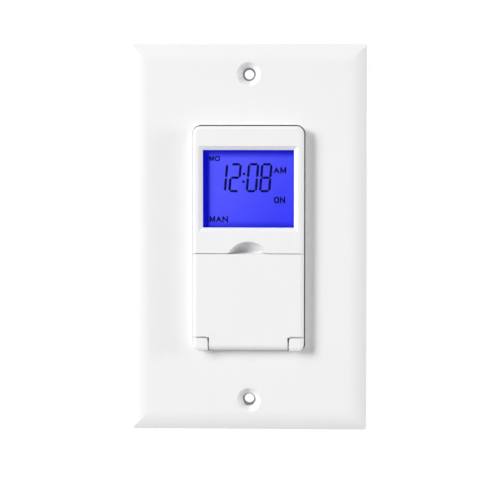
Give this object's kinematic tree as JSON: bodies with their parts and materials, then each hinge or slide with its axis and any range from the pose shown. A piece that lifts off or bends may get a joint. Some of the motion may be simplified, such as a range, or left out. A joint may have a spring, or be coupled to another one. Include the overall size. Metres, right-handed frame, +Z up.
{
  "type": "timer switch",
  "caption": "In-wall timer switch in a bevelled wall plate: lit digital display, finger scoop and a drop-down door over its program keys, on a steel mounting strap.",
  "frame": {"origin": "centre of the box screw pattern, in the wall face that the strap and the plate's rim rest on", "axes": "+Z up the wall, -Y out of the wall to the front, +X to the right as seen from the front"},
  "size_m": [0.0698, 0.0419, 0.1142],
  "materials": {
    "plate_white": "gloss",
    "face_white": "satin",
    "key_white": "satin",
    "reset_grey": "satin",
    "frame_white": "satin",
    "lens_clear": "polished",
    "guide_clear": "polished",
    "display_blue": "backlit",
    "lamp_body": "clear",
    "contact_rubber": "matt",
    "switch_black": "moulded",
    "sheet_black": "film",
    "board_green": "solder mask",
    "chip_black": "moulded",
    "relay_blue": "moulded",
    "capacitor_yellow": "moulded",
    "sleeve_black": "sleeve",
    "varistor_blue": "dipped",
    "resistor_green": "coated",
    "housing_black": "moulded",
    "can_steel": "plain",
    "strap_steel": "zinc plated",
    "screw_steel": "zinc plated",
    "ground_green": "dyed",
    "tab_brass": "plain"
  },
  "bodies": {
    "device": {"wall_plate": "plate_white", "mounting_strap": "strap_steel", "ground_screw": "ground_green", "front_bezel": "face_white", "display_lens": "lens_clear", "lcd_glass": "display_blue", "lcd_frame": "frame_white", "light_guide": "guide_clear", "backlight_leds": "lamp_body", "contact_strip": "contact_rubber", "key_switches": "switch_black", "insulating_sheet": "sheet_black", "control_board": "board_green", "controller_chip": "chip_black", "clock_crystal": "can_steel", "backup_cell": "can_steel", "board_header": "chip_black", "power_board": "board_green", "load_relay": "relay_blue", "film_capacitor": "capacitor_yellow", "can_capacitors": "sleeve_black", "surge_varistor": "varistor_blue", "fusible_resistor": "resistor_green", "bridge_rectifier": "chip_black", "lead_tabs": "tab_brass", "rear_housing": "housing_black", "housing_screws": "screw_steel"},
    "door": {"cover_door": "face_white"},
    "on_off": {"on_off_key": "key_white"},
    "reset": {"reset_key": "reset_grey"},
    "program_button": {"program_key": "key_white"},
    "day_button": {"day_key": "key_white"},
    "clock_button": {"clock_key": "key_white"},
    "mode_button": {"mode_key": "key_white"},
    "hour_button": {"hour_key": "key_white"},
    "minute_button": {"minute_key": "key_white"}
  },
  "joints": [
    {"name": "door_hinge", "type": "hinge", "parent": "device", "child": "door", "pos_m": [0, -0.0076, -0.03135], "axis": [1, 0, 0], "range_deg": [0, 165]},
    {"name": "on_off_press", "type": "slide", "parent": "device", "child": "on_off", "axis": [0, 1, 0], "range_m": [0, 0.0004], "stiffness_N_per_m": 2000},
    {"name": "reset_press", "type": "slide", "parent": "device", "child": "reset", "axis": [0, 1, 0], "range_m": [0, 0.0004], "stiffness_N_per_m": 2000},
    {"name": "program_button_press", "type": "slide", "parent": "device", "child": "program_button", "axis": [0, 1, 0], "range_m": [0, 0.0004], "stiffness_N_per_m": 2000},
    {"name": "day_button_press", "type": "slide", "parent": "device", "child": "day_button", "axis": [0, 1, 0], "range_m": [0, 0.0004], "stiffness_N_per_m": 2000},
    {"name": "clock_button_press", "type": "slide", "parent": "device", "child": "clock_button", "axis": [0, 1, 0], "range_m": [0, 0.0004], "stiffness_N_per_m": 2000},
    {"name": "mode_button_press", "type": "slide", "parent": "device", "child": "mode_button", "axis": [0, 1, 0], "range_m": [0, 0.0004], "stiffness_N_per_m": 2000},
    {"name": "hour_button_press", "type": "slide", "parent": "device", "child": "hour_button", "axis": [0, 1, 0], "range_m": [0, 0.0004], "stiffness_N_per_m": 2000},
    {"name": "minute_button_press", "type": "slide", "parent": "device", "child": "minute_button", "axis": [0, 1, 0], "range_m": [0, 0.0004], "stiffness_N_per_m": 2000}
  ]
}
